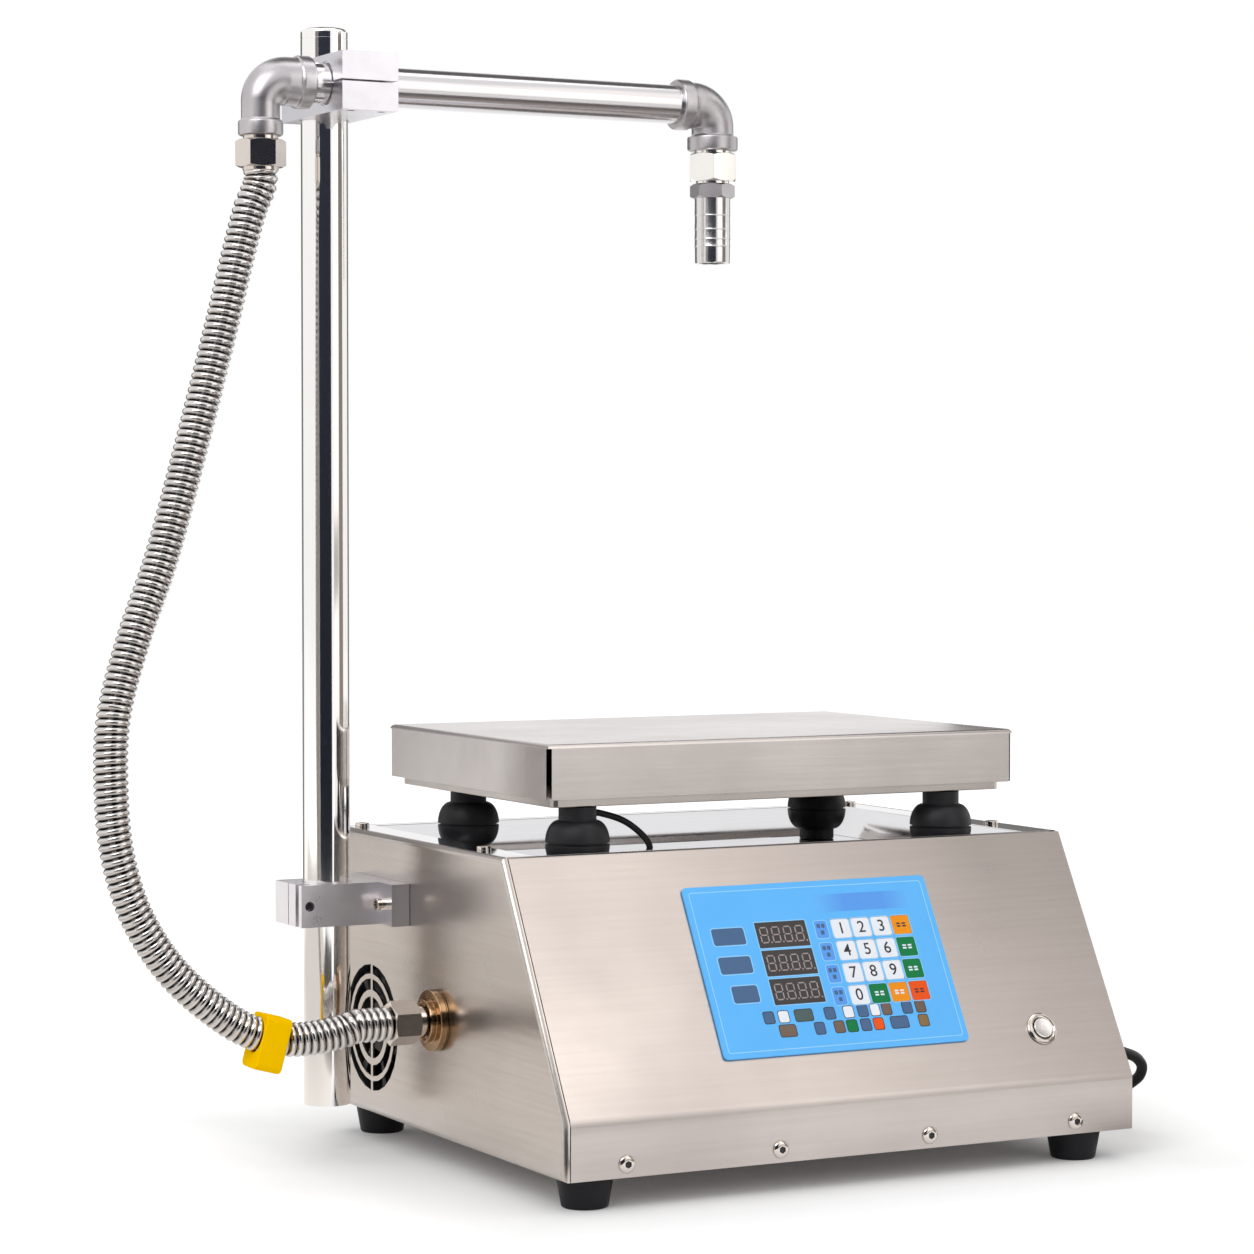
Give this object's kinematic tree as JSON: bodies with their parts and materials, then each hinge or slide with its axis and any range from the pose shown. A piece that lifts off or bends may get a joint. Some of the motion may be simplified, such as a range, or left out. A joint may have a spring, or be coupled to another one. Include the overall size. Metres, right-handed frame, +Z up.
{
  "type": "weighing liquid filler",
  "caption": "Bench-top filler that pumps liquid through a nozzle on an adjustable mast into a container standing on its scale, and stops at a set weight.",
  "frame": {"origin": "centre of the underside of the bounding box of the rigid pieces, level with the feet, without the hose and the power cord", "axes": "+X to the operator's right, +Y to the back, +Z up"},
  "size_m": [0.7278, 0.5071, 0.761],
  "materials": {
    "cabinet_sheet": "satin stainless sheet",
    "platter_sheet": "satin stainless sheet",
    "scale_steel": "bent steel sheet",
    "mast_steel": "polished tube",
    "hose_steel": "bright corrugated metal",
    "fitting_steel": "machined bright",
    "cast_steel": "cast and pickled",
    "nozzle_steel": "turned",
    "aluminium": "milled and blasted",
    "outlet_brass": "worn bronze",
    "impeller_brass": "machined",
    "black_rubber": "moulded",
    "cord_plastic": "extruded",
    "fan_plastic": "moulded",
    "motor_paint": "black paint",
    "clip_plastic": "yellow, moulded",
    "keypad_blue": "printed film",
    "key_white": "printed film",
    "key_orange": "printed film",
    "key_green": "printed film",
    "key_red": "printed film"
  },
  "bodies": {
    "cabinet": {"base_tray": "cabinet_sheet", "left_side_panel": "cabinet_sheet", "right_side_panel": "cabinet_sheet", "front_panel": "cabinet_sheet", "top_plate": "cabinet_sheet", "rear_panel": "cabinet_sheet", "foot_front_left": "black_rubber", "foot_front_right": "black_rubber", "foot_rear_left": "black_rubber", "foot_rear_right": "black_rubber", "outlet_flange": "outlet_brass", "lower_hose_nut": "fitting_steel", "hose": "hose_steel", "hose_clip": "clip_plastic", "mast_bracket": "aluminium", "load_cell": "aluminium", "scale_base": "scale_steel", "bumper_front_left": "black_rubber", "bumper_front_right": "black_rubber", "bumper_rear_left": "black_rubber", "bumper_rear_right": "black_rubber", "scale_cable": "cord_plastic", "keypad_overlay": "keypad_blue", "button_bezel": "fitting_steel", "fan_frame": "fan_plastic", "pump_motor": "motor_paint", "pump_head": "cast_steel", "cord_gland": "cord_plastic", "power_cord": "cord_plastic", "power_coil": "cord_plastic", "power_plug": "cord_plastic"},
    "mast": {"mast_tube": "mast_steel"},
    "head": {"cross_clamp": "aluminium"},
    "arm": {"arm_tube": "mast_steel", "left_elbow": "cast_steel", "right_elbow": "cast_steel", "upper_hose_nut": "fitting_steel", "nozzle_nipple": "fitting_steel", "nozzle_barb": "nozzle_steel"},
    "spider": {"platter_spider": "scale_steel"},
    "platter": {"platter": "platter_sheet"},
    "button": {"button_cap": "fitting_steel"},
    "key_1": {"key_1": "key_white"},
    "key_2": {"key_2": "key_white"},
    "key_3": {"key_3": "key_white"},
    "key_tare": {"key_tare": "key_orange"},
    "key_4": {"key_4": "key_white"},
    "key_5": {"key_5": "key_white"},
    "key_6": {"key_6": "key_white"},
    "key_set": {"key_set": "key_green"},
    "key_7": {"key_7": "key_white"},
    "key_8": {"key_8": "key_white"},
    "key_9": {"key_9": "key_white"},
    "key_save": {"key_save": "key_green"},
    "key_0": {"key_0": "key_white"},
    "key_clear": {"key_clear": "key_green"},
    "key_pause": {"key_pause": "key_orange"},
    "key_stop": {"key_stop": "key_red"},
    "fan": {"fan_rotor": "fan_plastic"},
    "pump_wheel": {"impeller": "impeller_brass"}
  },
  "joints": [
    {"name": "mast_height", "type": "slide", "parent": "cabinet", "child": "mast", "axis": [0, 0, 1], "range_m": [-0.03, 0.12], "deforming": ["hose"]},
    {"name": "arm_swing", "type": "hinge", "parent": "mast", "child": "head", "pos_m": [-0.19488, 0.07835, 0.7185], "axis": [0, 0, 1], "range_deg": [-45, 45], "deforming": ["hose"]},
    {"name": "arm_reach", "type": "slide", "parent": "head", "child": "arm", "axis": [1, 0, 0], "range_m": [-0.1, 0.011], "deforming": ["hose"]},
    {"name": "weigh_deflection", "type": "slide", "parent": "cabinet", "child": "spider", "axis": [0, 0, 1], "range_m": [-0.0005, 0], "stiffness_N_per_m": 60000, "springref_m": 0.0005},
    {"name": "platter_lift", "type": "slide", "parent": "spider", "child": "platter", "axis": [0, 0, 1], "range_m": [0, 0.06]},
    {"name": "button_press", "type": "slide", "parent": "cabinet", "child": "button", "axis": [0, 0.8724, -0.4889], "range_m": [0, 0.0015], "stiffness_N_per_m": 800, "springref_m": -0.001},
    {"name": "press_1", "type": "slide", "parent": "cabinet", "child": "key_1", "axis": [0, 0.8724, -0.4889], "range_m": [0, 0.0004], "stiffness_N_per_m": 1000, "springref_m": -0.0003},
    {"name": "press_2", "type": "slide", "parent": "cabinet", "child": "key_2", "axis": [0, 0.8724, -0.4889], "range_m": [0, 0.0004], "stiffness_N_per_m": 1000, "springref_m": -0.0003},
    {"name": "press_3", "type": "slide", "parent": "cabinet", "child": "key_3", "axis": [0, 0.8724, -0.4889], "range_m": [0, 0.0004], "stiffness_N_per_m": 1000, "springref_m": -0.0003},
    {"name": "press_tare", "type": "slide", "parent": "cabinet", "child": "key_tare", "axis": [0, 0.8724, -0.4889], "range_m": [0, 0.0004], "stiffness_N_per_m": 1000, "springref_m": -0.0003},
    {"name": "press_4", "type": "slide", "parent": "cabinet", "child": "key_4", "axis": [0, 0.8724, -0.4889], "range_m": [0, 0.0004], "stiffness_N_per_m": 1000, "springref_m": -0.0003},
    {"name": "press_5", "type": "slide", "parent": "cabinet", "child": "key_5", "axis": [0, 0.8724, -0.4889], "range_m": [0, 0.0004], "stiffness_N_per_m": 1000, "springref_m": -0.0003},
    {"name": "press_6", "type": "slide", "parent": "cabinet", "child": "key_6", "axis": [0, 0.8724, -0.4889], "range_m": [0, 0.0004], "stiffness_N_per_m": 1000, "springref_m": -0.0003},
    {"name": "press_set", "type": "slide", "parent": "cabinet", "child": "key_set", "axis": [0, 0.8724, -0.4889], "range_m": [0, 0.0004], "stiffness_N_per_m": 1000, "springref_m": -0.0003},
    {"name": "press_7", "type": "slide", "parent": "cabinet", "child": "key_7", "axis": [0, 0.8724, -0.4889], "range_m": [0, 0.0004], "stiffness_N_per_m": 1000, "springref_m": -0.0003},
    {"name": "press_8", "type": "slide", "parent": "cabinet", "child": "key_8", "axis": [0, 0.8724, -0.4889], "range_m": [0, 0.0004], "stiffness_N_per_m": 1000, "springref_m": -0.0003},
    {"name": "press_9", "type": "slide", "parent": "cabinet", "child": "key_9", "axis": [0, 0.8724, -0.4889], "range_m": [0, 0.0004], "stiffness_N_per_m": 1000, "springref_m": -0.0003},
    {"name": "press_save", "type": "slide", "parent": "cabinet", "child": "key_save", "axis": [0, 0.8724, -0.4889], "range_m": [0, 0.0004], "stiffness_N_per_m": 1000, "springref_m": -0.0003},
    {"name": "press_0", "type": "slide", "parent": "cabinet", "child": "key_0", "axis": [0, 0.8724, -0.4889], "range_m": [0, 0.0004], "stiffness_N_per_m": 1000, "springref_m": -0.0003},
    {"name": "press_clear", "type": "slide", "parent": "cabinet", "child": "key_clear", "axis": [0, 0.8724, -0.4889], "range_m": [0, 0.0004], "stiffness_N_per_m": 1000, "springref_m": -0.0003},
    {"name": "press_pause", "type": "slide", "parent": "cabinet", "child": "key_pause", "axis": [0, 0.8724, -0.4889], "range_m": [0, 0.0004], "stiffness_N_per_m": 1000, "springref_m": -0.0003},
    {"name": "press_stop", "type": "slide", "parent": "cabinet", "child": "key_stop", "axis": [0, 0.8724, -0.4889], "range_m": [0, 0.0004], "stiffness_N_per_m": 1000, "springref_m": -0.0003},
    {"name": "fan_spin", "type": "hinge", "parent": "cabinet", "child": "fan", "pos_m": [-0.139, 0.09835, 0.08], "axis": [1, 0, 0], "continuous": true},
    {"name": "pump_spin", "type": "hinge", "parent": "cabinet", "child": "pump_wheel", "pos_m": [-0.05288, -0.03615, 0.0985], "axis": [0, 1, 0], "continuous": true}
  ]
}
